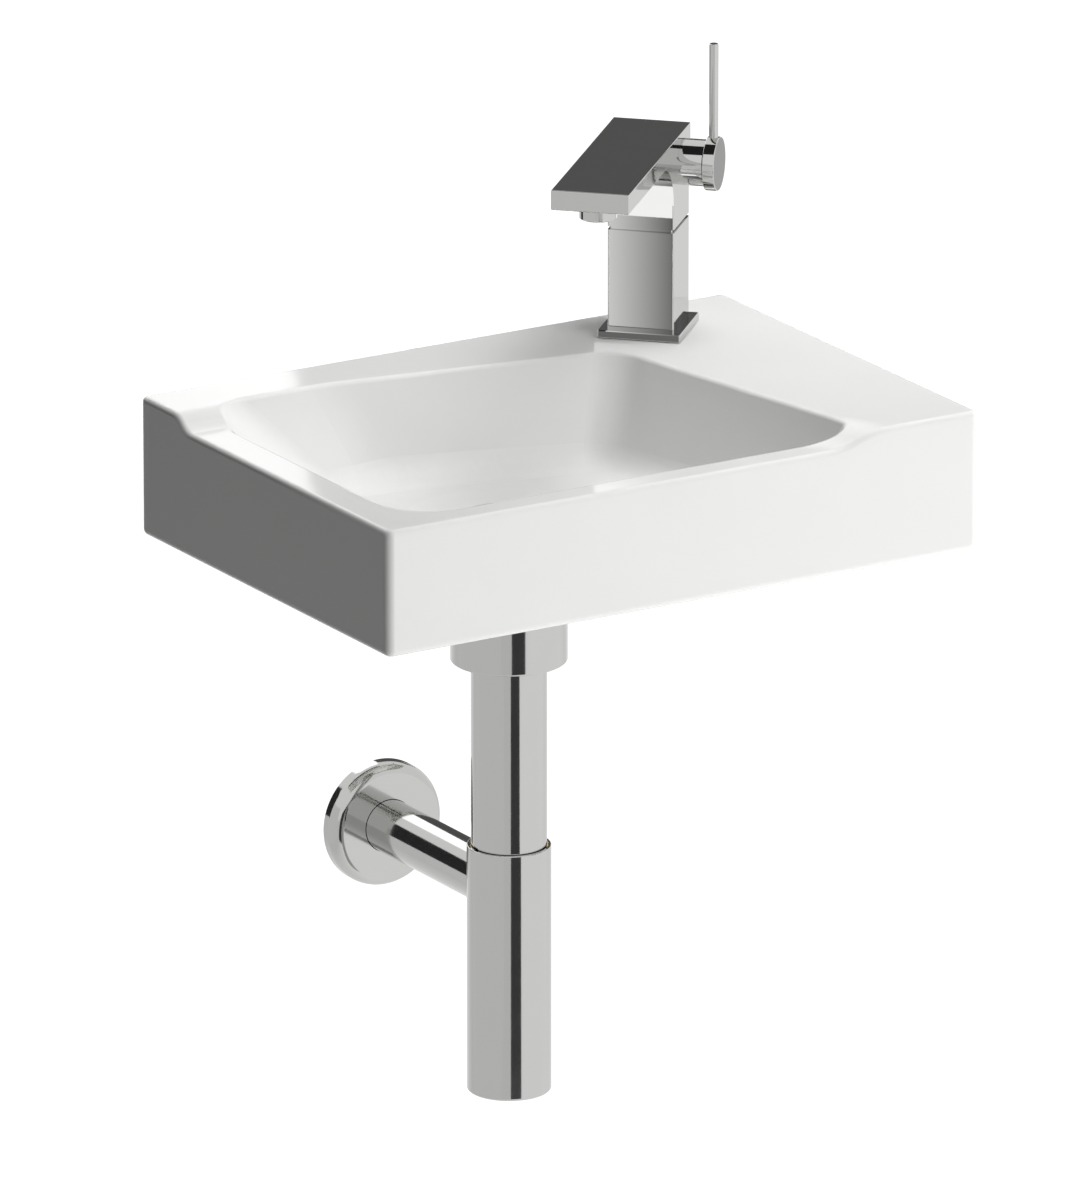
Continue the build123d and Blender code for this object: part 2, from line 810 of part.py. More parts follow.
# Tap head with its flat spout

def make_tap_spout():
    """Head and flat spout in one casting, with a cove below the spout and cored waterways."""
    head = square_bar(column_side, column_corner, head_bottom, spout_top - waterway_roof)
    plate = Box(spout_width, spout_length, spout_thickness,
                align=(Align.CENTER, Align.MAX, Align.MIN))
    plate = Pos(-spout_shift, half_column, spout_bottom) * plate
    plate = fillet(plate.edges(), spout_edge)
    cove = Box(column_side, cove_radius + column_corner, cove_radius + spout_edge,
               align=(Align.CENTER, Align.MAX, Align.MAX))
    cove = Pos(0, column_corner - half_column, spout_bottom + spout_edge) * cove
    cove -= Pos(0, -half_column - cove_radius, spout_bottom - cove_radius) * along_x(
        rod(cove_radius, -column_side, column_side))
    spout = head + plate + cove
    chamber = along_x(rod(chamber_radius, chamber_end, half_column + overrun))
    seat = along_x(rod(neck_radius + slip_gap, half_column, half_spout + overrun))
    spout -= Pos(0, 0, handle_axis_up) * (chamber + seat)
    port_length = riser_left + chamber_end + overrun
    for side in (-1, 1):
        riser = rod(riser_radius, head_bottom - overrun, handle_axis_up)
        port = Pos(0, 0, handle_axis_up) * along_x(rod(riser_radius, 0, port_length))
        spout -= Pos(-riser_left, side * riser_half_spacing, 0) * (riser + port)
    port_up = handle_axis_up + outlet_port_up
    outlet = rod(riser_radius, port_up, waterway_top)
    outlet += Pos(0, 0, port_up) * along_x(rod(riser_radius, 0, port_length))
    spout -= Pos(-riser_left, 0, 0) * outlet
    channel = Box(waterway_width, waterway_back - aerator_y, waterway_height,
                  align=(Align.CENTER, Align.MAX, Align.MAX))
    spout -= Pos(-spout_shift, waterway_back, waterway_top) * channel
    bore = rod(aerator_bore_radius, spout_bottom - overrun, waterway_top)
    return on_tap(spout - Pos(-spout_shift, aerator_y, 0) * bore)


def at_aerator(shape):
    """Places a shape built on Z below the front end of the spout."""
    return on_tap(Pos(-spout_shift, aerator_y, 0) * shape)


def make_aerator_housing():
    bore = aerator_bore_radius - thread_gap - aerator_wall
    housing = rod(aerator_radius, aerator_low, spout_bottom)
    housing = fillet(housing.edges().group_by(Axis.Z)[0], aerator_edge)
    housing += rod(aerator_bore_radius - thread_gap, spout_bottom, aerator_skirt_top)
    return at_aerator(housing - rod(bore, aerator_low - overrun, aerator_skirt_top + overrun))


def make_aerator_insert():
    """A plastic flow straightener, pierced by rings of round holes."""
    radius = aerator_bore_radius - thread_gap - aerator_wall - slip_gap
    low = aerator_low + aerator_mesh_recess
    insert = rod(radius, low, low + aerator_mesh_thickness)
    hole = rod(aerator_mesh_hole, low - overrun, low + aerator_mesh_thickness + overrun)
    insert -= hole
    insert -= PolarLocations(aerator_mesh_pitch, 6) * hole
    return at_aerator(insert - PolarLocations(aerator_mesh_pitch * cos(radians(30)) * 2, 6,
                                              start_angle=30) * hole)


def make_aerator_seal():
    outer = aerator_bore_radius - thread_gap
    return at_aerator(ring(outer, outer - aerator_seal_width, aerator_skirt_top,
                           aerator_skirt_top + aerator_seal_thickness))


# Cartridge and handle, built on Z as if the handle pointed up and laid along X

def make_cartridge_neck():
    """The polished sleeve between head and handle, screwed into the head."""
    neck = rod(neck_radius, half_column, neck_end)
    neck = chamfer(neck.edges().group_by(Axis.Z)[-1], neck_edge)
    neck -= rod(neck_radius - neck_wall, half_column - overrun, neck_end + overrun)
    outer = chamber_radius - thread_gap
    neck += ring(outer, outer - neck_spigot_wall, spigot_end, half_column)
    return on_handle(along_x(neck))


def make_cartridge():
    """The cartridge's casing, with ports in its foot and a bore for the spindle."""
    shell = rod(cartridge_radius, cartridge_foot, spigot_end - slip_gap)
    shell += rod(cartridge_nose_radius, cartridge_foot, cartridge_nose_end)
    shell -= rod(disc_room_radius, fixed_disc_start, spindle_start)
    shell -= rod(spindle_radius + running_gap, fixed_disc_start, cartridge_nose_end + overrun)
    shell -= ports(riser_radius - foot_seal_width / 2, cartridge_foot, fixed_disc_start)
    return on_handle(along_x(shell))


def ports(radius, low, high):
    """The two inlet ports and the outlet port, about the handle's axis laid along Z."""
    bar = rod(radius, low - overrun, high + overrun)
    places = [(0, riser_half_spacing), (0, -riser_half_spacing), (-outlet_port_up, 0)]
    return Part() + [Pos(x, y, 0) * bar for x, y in places]


def make_cartridge_seals():
    """Three rubber rings that close the ports between cartridge and head."""
    seal = ring(riser_radius + slip_gap, riser_radius - foot_seal_width / 2,
                chamber_end, cartridge_foot)
    places = [(0, riser_half_spacing), (0, -riser_half_spacing), (-outlet_port_up, 0)]
    return Compound(children=[on_handle(along_x(Pos(x, y, 0) * seal)) for x, y in places])


def make_fixed_disc():
    disc = rod(disc_radius, fixed_disc_start, fixed_disc_start + disc_thickness)
    return on_handle(along_x(disc - ports(disc_port_radius, fixed_disc_start,
                                          fixed_disc_start + disc_thickness)))


def make_moving_disc():
    """The upper ceramic disc, which turns with the spindle."""
    end = moving_disc_start + disc_thickness
    disc = rod(moving_disc_radius, moving_disc_start, end)
    pocket = Box(outlet_port_up, 2 * riser_half_spacing, disc_thickness,
                 align=(Align.CENTER, Align.CENTER, Align.MAX))
    pocket = fillet(pocket.edges().filter_by(Axis.Z), disc_port_radius)
    return on_handle(along_x(disc - Pos(0, 0, moving_disc_start + disc_thickness / 2) * pocket))


def make_spindle():
    """The turning core of the cartridge, slotted for the lever stem to tilt in."""
    core = rod(spindle_radius, spindle_start, spindle_end)
    slot = Box(2 * spindle_radius + overrun, spindle_slot, spindle_end - spindle_web_end + overrun,
               align=low_align)
    core -= Pos(0, 0, spindle_web_end) * slot
    core = along_x(core)
    pin_hole = along_y(rod(pivot_pin_radius + running_gap, -spindle_radius, spindle_radius))
    return on_handle(core - Pos(pivot_from_centre, 0, 0) * pin_hole)


def make_pivot_pin():
    reach = spindle_radius - thread_gap
    pin = along_y(rod(pivot_pin_radius, -reach, reach))
    return on_handle(Pos(pivot_from_centre, 0, 0) * pin)


def make_clamp_ring():
    """The threaded ring that holds the cartridge down inside the neck."""
    return on_handle(along_x(ring(neck_radius - neck_wall - thread_gap, clamp_ring_inner,
                                  clamp_ring_start, clamp_ring_start + clamp_ring_length)))


def make_lever_stem():
    """The steel rod that the handle tilts, with its ball inside and a hole for the pivot."""
    inner = pivot_from_centre - stem_inner
    stem = rod(stem_radius, inner, cap_end - stem_end_wall)
    stem = along_x(stem) + Pos(inner, 0, 0) * Sphere(stem_ball_radius)
    hole = along_y(rod(pivot_pin_radius + running_gap, -stem_ball_radius, stem_ball_radius))
    return on_handle(stem - Pos(pivot_from_centre, 0, 0) * hole)


def make_handle_cap():
    """The round handle, cupped over the neck so that it can tilt, with a boss for the stem."""
    cap = rod(cap_radius, cap_start, cap_end)
    cap = fillet(cap.edges().filter_by(GeomType.CIRCLE), cap_edge)
    cap -= rod(cap_recess_radius, cap_start - overrun, cap_wall_start)
    cap += rod(cap_boss_radius, cap_wall_start - cap_boss_length, cap_wall_start)
    lug = Box(cap_recess_radius + cap_edge - lug_inner, lug_width, cap_recess_depth,
              align=(Align.MAX, Align.CENTER, Align.MIN))
    cap += Pos(-lug_inner, 0, cap_start) * lug
    cap -= rod(stem_radius + running_gap, cap_start - cap_boss_length,
               cap_end - stem_end_wall + running_gap)
    cap = along_x(cap)
    socket = rod(lever_radius + running_gap, lever_root, cap_radius + overrun)
    cap -= Pos(lever_from_centre, 0, 0) * socket
    grub_hole = rod(grub_radius + running_gap, -cap_boss_radius - overrun, 0)
    access = rod(grub_access_radius, -cap_radius - overrun, -grub_access_start)
    return on_handle(cap - Pos(grub_from_centre, 0, 0) * (grub_hole + access))


def make_lever_pin():
    """The slim upright pin that the hand holds."""
    pin = rod(lever_radius, lever_root, lever_height)
    pin = fillet(pin.edges().group_by(Axis.Z)[-1], lever_end_round)
    return on_handle(Pos(lever_from_centre, 0, 0) * pin)


def make_grub_screw():
    """Holds the handle on its stem, reached through the hole under the cap."""
    inner = stem_radius + running_gap
    screw = rod(grub_radius, -cap_boss_radius, -inner)
    face = RegularPolygon(radius=grub_socket_radius, side_count=6)
    socket = extrude(face, grub_socket_depth + overrun)
    screw -= Pos(0, 0, -cap_boss_radius - overrun) * socket
    return on_handle(Pos(grub_from_centre, 0, 0) * screw)


# Tap fastening under the deck

def horseshoe(thickness, low):
    """A washer that is open to the left, for the two hoses to pass."""
    plate = rod(horseshoe_radius, low, low + thickness)
    notch = Box(horseshoe_radius + overrun + horseshoe_notch_end, horseshoe_notch,
                thickness + 2 * overrun, align=(Align.MAX, Align.CENTER, Align.MIN))
    plate -= Pos(horseshoe_notch_end, 0, low - overrun) * notch
    hole = rod(stud_radius + bolt_gap, low - overrun, low + thickness + overrun)
    return on_tap(plate - Pos(stud_right, 0, 0) * hole)


def make_rubber_horseshoe():
    return horseshoe(rubber_horseshoe_thickness, rubber_low)


def make_steel_horseshoe():
    return horseshoe(steel_horseshoe_thickness, steel_low)


def make_tap_stud():
    top = stud_in_body - spigot_below_deck
    return on_tap(Pos(stud_right, 0, 0) * rod(stud_radius, tap_nut_low - stud_below_nut, top))


def make_tap_nut():
    nut = hexagon_nut(tap_nut_flats, stud_radius + thread_gap, -steel_low, -tap_nut_low)
    return on_tap(Pos(stud_right, 0, 0) * Rotation(180, 0, 0) * nut)


os.makedirs("parts", exist_ok=True)
write("basin", make_basin())

write("waste_body", on_waste(make_waste_body()))
write("waste_cover", on_waste(make_waste_cover()))
write("waste_upper_seal", on_waste(make_waste_upper_seal()))
write("waste_lower_seal", on_waste(make_waste_lower_seal()))
write("waste_washer", on_waste(make_waste_washer()))
write("waste_nut", on_waste(make_waste_nut()))

write("trap_collar", on_waste(make_trap_collar()))
write("trap_inlet_seal", on_waste(make_trap_inlet_seal()))
write("dip_tube", on_waste(make_dip_tube()))
write("sleeve_tube", on_waste(make_sleeve_tube()))
write("trap_body", on_waste(make_trap_body()))
write("trap_lid", on_waste(make_trap_lid()))
write("lid_seal", on_waste(make_lid_seal()))
write("dip_tube_seal", on_waste(make_dip_tube_seal()))
write("cleaning_plug", on_waste(make_cleaning_plug()))
write("plug_seal", on_waste(make_plug_seal()))
write("outlet_pipe", on_waste(make_outlet_pipe()))
write("outlet_grommet", on_waste(make_outlet_grommet()))
write("rosette", make_rosette())
write("rosette_ring", make_rosette_ring())

write("hanger_bolts", make_hanger_bolts())
write("fixing_bushes", make_fixing_bushes())
write("fixing_washers", make_fixing_washers())
write("fixing_nuts", make_fixing_nuts())

write("tap_base_plate", make_tap_base_plate())
write("tap_base_seal", make_tap_base_seal())
write("tap_column", make_tap_column())
write("tap_gap_ring", make_tap_gap_ring())
write("tap_spout", make_tap_spout())
write("aerator_housing", make_aerator_housing())
write("aerator_insert", make_aerator_insert())
write("aerator_seal", make_aerator_seal())

write("cartridge_neck", make_cartridge_neck())
write("cartridge", make_cartridge())
write("cartridge_seals", make_cartridge_seals())
write("fixed_disc", make_fixed_disc())
write("moving_disc", make_moving_disc())
write("spindle", make_spindle())
write("pivot_pin", make_pivot_pin())
write("clamp_ring", make_clamp_ring())
write("lever_stem", make_lever_stem())
write("handle_cap", make_handle_cap())
write("lever_pin", make_lever_pin())
write("grub_screw", make_grub_screw())

write("rubber_horseshoe", make_rubber_horseshoe())
write("steel_horseshoe", make_steel_horseshoe())
write("tap_stud", make_tap_stud())
write("tap_nut", make_tap_nut())
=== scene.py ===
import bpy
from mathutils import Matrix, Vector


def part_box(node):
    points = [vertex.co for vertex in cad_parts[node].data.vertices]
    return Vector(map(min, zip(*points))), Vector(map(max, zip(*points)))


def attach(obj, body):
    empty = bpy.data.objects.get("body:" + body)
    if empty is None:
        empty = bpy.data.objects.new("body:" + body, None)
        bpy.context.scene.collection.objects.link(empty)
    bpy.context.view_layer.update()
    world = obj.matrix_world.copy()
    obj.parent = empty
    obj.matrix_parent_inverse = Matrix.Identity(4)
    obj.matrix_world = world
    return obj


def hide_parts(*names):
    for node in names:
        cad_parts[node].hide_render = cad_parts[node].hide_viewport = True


bl_info = {
    "name": "Hand-rinse basin looks",
    "version": (1, 0, 0),
    "blender": (4, 5, 0),
    "location": "View3D > Sidebar > Sink",
    "description": "Dresses a wall-hung hand-rinse basin, its mixer tap and its bottle trap",
    "category": "Object",
}

from math import cos, pi, radians, sin, sqrt, tan

import bmesh
import bpy
from bpy.props import FloatProperty, FloatVectorProperty, PointerProperty
from bpy.types import Operator, Panel, PropertyGroup
from mathutils import Matrix, Vector

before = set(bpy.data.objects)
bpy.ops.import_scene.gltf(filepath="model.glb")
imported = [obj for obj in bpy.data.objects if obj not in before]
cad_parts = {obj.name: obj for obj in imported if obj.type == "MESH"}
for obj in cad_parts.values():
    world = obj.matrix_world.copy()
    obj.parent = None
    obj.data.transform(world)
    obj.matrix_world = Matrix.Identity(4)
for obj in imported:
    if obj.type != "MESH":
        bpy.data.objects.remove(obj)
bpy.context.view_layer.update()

# Lowest and highest corners of the pieces that the dressing is fitted to
basin_low, basin_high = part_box("basin")
bolts_low, bolts_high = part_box("hanger_bolts")
stud_low, stud_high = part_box("tap_stud")

# Height of the photograph's frame in pixels
frame_rows = 1188


class GlazeLook(PropertyGroup):
    """The basin's glaze and its bare clay"""
    colour: FloatVectorProperty(
        name="Glaze", description="Colour of the white glaze", subtype="COLOR",
        default=(0.83, 0.835, 0.82), min=0, max=1)
    bare_colour: FloatVectorProperty(
        name="Bare clay", description="Colour of the unglazed back and foot", subtype="COLOR",
        default=(0.62, 0.57, 0.49), min=0, max=1)
    roughness: FloatProperty(
        name="Roughness", description="Roughness of the fired glaze", subtype="FACTOR",
        default=0.07, min=0, max=1)
    ripple: FloatProperty(
        name="Ripple", description="Height of the glaze's slow ripples",
        default=0.00005, min=0, unit="LENGTH", precision=6)
    ripple_width: FloatProperty(
        name="Ripple width", description="Distance between the glaze's slow ripples",
        default=0.03, min=0.001, unit="LENGTH")


class ChromeLook(PropertyGroup):
    """The chrome plate of the tap and of the trap"""
    tap_colour: FloatVectorProperty(
        name="Tap chrome", description="Colour of the tap's chrome plate", subtype="COLOR",
        default=(0.55, 0.55, 0.54), min=0, max=1)
    trap_colour: FloatVectorProperty(
        name="Trap chrome", description="Colour of the trap's chrome plate", subtype="COLOR",
        default=(0.53, 0.53, 0.52), min=0, max=1)
    tap_roughness: FloatProperty(
        name="Tap roughness", description="Roughness of the tap's polish", subtype="FACTOR",
        default=0.06, min=0, max=1)
    trap_roughness: FloatProperty(
        name="Trap roughness", description="Roughness of the trap's polish", subtype="FACTOR",
        default=0.09, min=0, max=1)
    smear: FloatProperty(
        name="Smears", description="How much the polish varies from place to place",
        subtype="FACTOR", default=0.03, min=0, max=1)


class MetalLook(PropertyGroup):
    """The plain brass and the zinc plated steel, with the pitches of their threads"""
    brass_colour: FloatVectorProperty(
        name="Brass", description="Colour of the plain turned brass", subtype="COLOR",
        default=(0.68, 0.5, 0.22), min=0, max=1)
    zinc_colour: FloatVectorProperty(
        name="Zinc", description="Colour of the zinc plated steel", subtype="COLOR",
        default=(0.55, 0.57, 0.58), min=0, max=1)
    turning_pitch: FloatProperty(
        name="Turning marks", description="Distance between the lathe's marks",
        default=0.00377, min=0.0001, unit="LENGTH", precision=5)
    metric_pitch: FloatProperty(
        name="Bolt thread", description="Pitch of the hanger bolts' metric thread",
        default=0.0015, min=0.0004, unit="LENGTH", precision=5)
    wood_pitch: FloatProperty(
        name="Wood thread", description="Pitch of the hanger bolts' thread in the wall",
        default=0.0042, min=0.001, unit="LENGTH", precision=5)
    stud_pitch: FloatProperty(
        name="Stud thread", description="Pitch of the tap stud's thread",
        default=0.00125, min=0.0004, unit="LENGTH", precision=5)


class PlasticLook(PropertyGroup):
    """The rubber, the moulded plastics and the ceramic discs"""
    rubber_colour: FloatVectorProperty(
        name="Rubber", description="Colour of the rubber seals", subtype="COLOR",
        default=(0.025, 0.025, 0.027), min=0, max=1)
    white_colour: FloatVectorProperty(
        name="White plastic", description="Colour of bushes, washer and spindle",
        subtype="COLOR", default=(0.8, 0.8, 0.77), min=0, max=1)
    grey_colour: FloatVectorProperty(
        name="Grey plastic", description="Colour of the cartridge and the flow straightener",
        subtype="COLOR", default=(0.22, 0.23, 0.24), min=0, max=1)
    disc_colour: FloatVectorProperty(
        name="Disc ceramic", description="Colour of the ground ceramic discs",
        subtype="COLOR", default=(0.78, 0.76, 0.7), min=0, max=1)
    grain: FloatProperty(
        name="Moulding grain", description="Width of the grain on moulded plastic",
        default=0.0008, min=0.0001, unit="LENGTH", precision=5)


class StudioLook(PropertyGroup):
    """The studio's light, its floor and its camera"""
    floor_drop: FloatProperty(
        name="Floor", description="Height of the basin's wall fixings above the floor",
        default=0.8, min=0.4, unit="LENGTH")
    key_strength: FloatProperty(
        name="Key light", default=0.32, min=0,
        description="Brightness of a white surface that faces the large lamp, front right")
    side_strength: FloatProperty(
        name="Side light", default=0.55, min=0,
        description="Brightness of a white surface that faces the small lamp, high on the right")
    floor_glow: FloatProperty(
        name="Floor glow", description="Light that the lit floor throws up at the front",
        default=1.5, min=0)
    fill: FloatProperty(
        name="Fill", description="Level of the white surround's light on the object",
        default=0.58, min=0, max=2)
    flag: FloatProperty(
        name="Left flag", description="How far round from the left the surround is blocked",
        default=radians(60), subtype="ANGLE")
    camera_heading: FloatProperty(
        name="Camera heading", description="How far round to the left the camera stands",
        default=radians(31.417), subtype="ANGLE")
    camera_height: FloatProperty(
        name="Camera height", description="Angle that the camera looks down by",
        default=radians(17.623), subtype="ANGLE")
    camera_distance: FloatProperty(
        name="Camera distance", description="Distance from the camera to its aim",
        default=10, min=1, unit="LENGTH")
    camera_aim: FloatVectorProperty(
        name="Camera aim", description="Point in the middle of the picture",
        default=(-0.120128, -0.315545, -0.004427), subtype="TRANSLATION", precision=6)
    pixels_per_metre: FloatProperty(
        name="Scale", description="Pixels of the frame's long side for each metre at the aim",
        default=1755.5, min=1)


def add(tree, kind, inputs=None, **settings):
    """Adds a node, with its settings, its input values and its links."""
    made = tree.nodes.new(kind)
    for key, value in settings.items():
        setattr(made, key, value)
    for key, value in (inputs or {}).items():
        if isinstance(value, bpy.types.NodeSocket):
            tree.links.new(value, made.inputs[key])
        else:
            made.inputs[key].default_value = value
    return made


def calc(tree, operation, *values):
    """One sum in a node tree."""
    return add(tree, "ShaderNodeMath", dict(enumerate(values)), operation=operation).outputs[0]


def new_material(name):
    """An empty material, its node tree and the piece's own coordinates."""
    material = bpy.data.materials.new(name)
    material.use_nodes = True
    tree = material.node_tree
    tree.nodes.clear()
    place = add(tree, "ShaderNodeTexCoord").outputs["Object"]
    return material, tree, place


def close_material(tree, shader):
    """Ends a material with its shader."""
    add(tree, "ShaderNodeOutputMaterial", {"Surface": shader.outputs[0]})


def grain(tree, place, width, detail=2.0, stretch=None):
    """Noise whose spots are about as wide as width, in metres."""
    if stretch:
        place = add(tree, "ShaderNodeMapping", {"Vector": place, "Scale": stretch}).outputs[0]
    return add(tree, "ShaderNodeTexNoise",
               {"Vector": place, "Scale": 1 / width, "Detail": detail}).outputs["Fac"]


def between(tree, value, low, high, start=0.0, end=1.0):
    """Maps a value from start..end to low..high."""
    return add(tree, "ShaderNodeMapRange", {
        "Value": value, "From Min": start, "From Max": end, "To Min": low, "To Max": high,
    }).outputs["Result"]


def mixed(tree, share, first, second):
    """One colour turning into another as share goes from 0 to 1."""
    return add(tree, "ShaderNodeMix", {0: share, 6: first, 7: second},
               data_type="RGBA").outputs[2]


def blended(tree, share, first, second):
    """One number turning into another as share goes from 0 to 1."""
    return add(tree, "ShaderNodeMix", {0: share, 2: first, 3: second}).outputs[0]


def raised(tree, height, distance, before=None):
    """A bump of the given height in metres."""
    inputs = {"Height": height, "Distance": distance}
    if before:
        inputs["Normal"] = before
    return add(tree, "ShaderNodeBump", inputs).outputs["Normal"]


def tinted(colour, share):
    """A colour made darker or lighter, with full opacity."""
    return tuple(min(1, part * share) for part in colour) + (1,)


def speckled(tree, share, colour, first, second):
    """A colour whose tint goes from first to second as share goes from 0 to 1."""
    return mixed(tree, share, tinted(colour, first), tinted(colour, second))


def glaze_material(look):
    """White glaze with slow ripples, and bare clay on the back face and the foot."""
    cloud_width = 0.05
    speck_width = 0.0011
    waver_width = 0.012
    waver = 0.0006
    grit_width = 0.0007
    grit_height = 0.0001
    glazed_from_back, bare_from_back = 0.0016, 0.001
    bare_from_foot, glazed_from_foot = 0.0004, 0.001
    bare_roughness = 0.85
    material, tree, place = new_material("white_glaze")
    axes = add(tree, "ShaderNodeSeparateXYZ", {"Vector": place}).outputs
    clouds = grain(tree, place, cloud_width)
    colour = speckled(tree, clouds, look.colour, 0.985, 1.015)
    specks = between(tree, grain(tree, place, speck_width, detail=3.0), 0, 1,
                     start=0.42, end=0.62)
    clay = speckled(tree, specks, look.bare_colour, 0.86, 1.08)
    edge = calc(tree, "ADD", axes["Y"],
                between(tree, grain(tree, place, waver_width), -waver, waver))
    back = between(tree, edge, 0, 1, start=basin_high.y - glazed_from_back,
                   end=basin_high.y - bare_from_back)
    foot = between(tree, axes["Z"], 1, 0, start=basin_low.z + bare_from_foot,
                   end=basin_low.z + glazed_from_foot)
    bare = calc(tree, "MAXIMUM", back, foot)
    polish = between(tree, clouds, look.roughness * 0.8, look.roughness * 1.3)
    ripples = grain(tree, place, look.ripple_width, detail=1.0)
    grit = calc(tree, "MULTIPLY", grain(tree, place, grit_width, detail=4.0), bare)
    bump = raised(tree, grit, grit_height, raised(tree, ripples, look.ripple))
    shader = add(tree, "ShaderNodeBsdfPrincipled", {
        "Base Color": mixed(tree, bare, colour, clay), "Normal": bump, "IOR": 1.4,
        "Roughness": blended(tree, bare, polish, bare_roughness)})
    close_material(tree, shader)
    return material


def chrome_material(name, colour, roughness, smear, stretch):
    """Polished chrome plate with faint smears and hairlines along one direction."""
    smear_width = 0.018
    hair_width = 0.0006
    hair_height = 0.0000012
    material, tree, place = new_material(name)
    smears = grain(tree, place, smear_width, detail=3.0)
    hairs = grain(tree, place, hair_width, stretch=stretch)
    rough = calc(
        tree, "ADD",
        between(tree, smears, roughness - smear / 2, roughness + smear / 2,
                start=0.3, end=0.7),
        between(tree, hairs, -smear / 4, smear / 4))
    shader = add(tree, "ShaderNodeBsdfPrincipled", {
        "Base Color": speckled(tree, smears, colour, 0.985, 1.01), "Metallic": 1.0,
        "Roughness": rough, "Normal": raised(tree, hairs, hair_height)})
    close_material(tree, shader)
    return material


def brass_material(look):
    """Turned brass with lathe marks, darker where it has tarnished."""
    tarnish_width = 0.009
    mark_height = 0.00001
    # The wave texture's sine turns by this many radians in each unit of its scale
    turn_per_unit = 20
    material, tree, place = new_material("turned_brass")
    tarnish = grain(tree, place, tarnish_width, detail=4.0)
    marks = add(tree, "ShaderNodeTexWave", {
        "Vector": place, "Scale": 2 * pi / turn_per_unit / look.turning_pitch,
        "Distortion": 0.6}, bands_direction="Z").outputs["Fac"]
    dark = between(tree, tarnish, 0, 1, start=0.35, end=0.75)
    shader = add(tree, "ShaderNodeBsdfPrincipled", {
        "Base Color": speckled(tree, dark, look.brass_colour, 1.08, 0.62), "Metallic": 1.0,
        "Roughness": between(tree, tarnish, 0.24, 0.42),
        "Normal": raised(tree, marks, mark_height)})
    close_material(tree, shader)
    return material


def zinc_material(look):
    """Zinc plated steel with its faint spangle."""
    spangles_per_metre = 420.0
    dull_width = 0.004
    dull_height = 0.00002
    material, tree, place = new_material("zinc_plated_steel")
    spangle = add(tree, "ShaderNodeTexVoronoi", {
        "Vector": place, "Scale": spangles_per_metre}).outputs
    dull = grain(tree, place, dull_width, detail=3.0)
    bright = between(tree, dull, 0, 1, start=0.3, end=0.7)
    shader = add(tree, "ShaderNodeBsdfPrincipled", {
        "Base Color": speckled(tree, bright, look.zinc_colour, 0.82, 1.1), "Metallic": 1.0,
        "Roughness": between(tree, spangle["Distance"], 0.26, 0.42, end=0.8),
        "Normal": raised(tree, dull, dull_height)})
    close_material(tree, shader)
    return material


def rubber_material(look):
    """Matt black rubber with a fine moulded grain and a little bloom."""
    bloom_width = 0.006
    grain_height = 0.00002
    material, tree, place = new_material("black_rubber")
    bloom = grain(tree, place, bloom_width, detail=3.0)
    fine = grain(tree, place, look.grain / 2, detail=3.0)
    pale = between(tree, bloom, 0, 1, start=0.4, end=0.8)
    shader = add(tree, "ShaderNodeBsdfPrincipled", {
        "Base Color": speckled(tree, pale, look.rubber_colour, 1, 2.2),
        "Roughness": between(tree, bloom, 0.55, 0.8),
        "Normal": raised(tree, fine, grain_height)})
    close_material(tree, shader)
    return material


def plastic_material(name, colour, look, roughness):
    """Moulded plastic with a fine grain and slightly uneven colour."""
    cloud_width = 0.008
    grain_height = 0.000015
    material, tree, place = new_material(name)
    clouds = grain(tree, place, cloud_width)
    fine = grain(tree, place, look.grain, detail=3.0)
    shader = add(tree, "ShaderNodeBsdfPrincipled", {
        "Base Color": speckled(tree, clouds, colour, 0.94, 1.05),
        "Roughness": between(tree, fine, roughness - 0.06, roughness + 0.08),
        "Normal": raised(tree, fine, grain_height)})
    close_material(tree, shader)
    return material


def disc_material(look):
    """Ground ceramic, smooth and slightly speckled."""
    speck_width = 0.0005
    speck_height = 0.000004
    material, tree, place = new_material("ground_ceramic")
    specks = grain(tree, place, speck_width, detail=4.0)
    pale = between(tree, specks, 0, 1, start=0.35, end=0.7)
    shader = add(tree, "ShaderNodeBsdfPrincipled", {
        "Base Color": speckled(tree, pale, look.disc_colour, 0.9, 1.05),
        "Roughness": between(tree, specks, 0.16, 0.3),
        "Normal": raised(tree, specks, speck_height)})
    close_material(tree, shader)
    return material


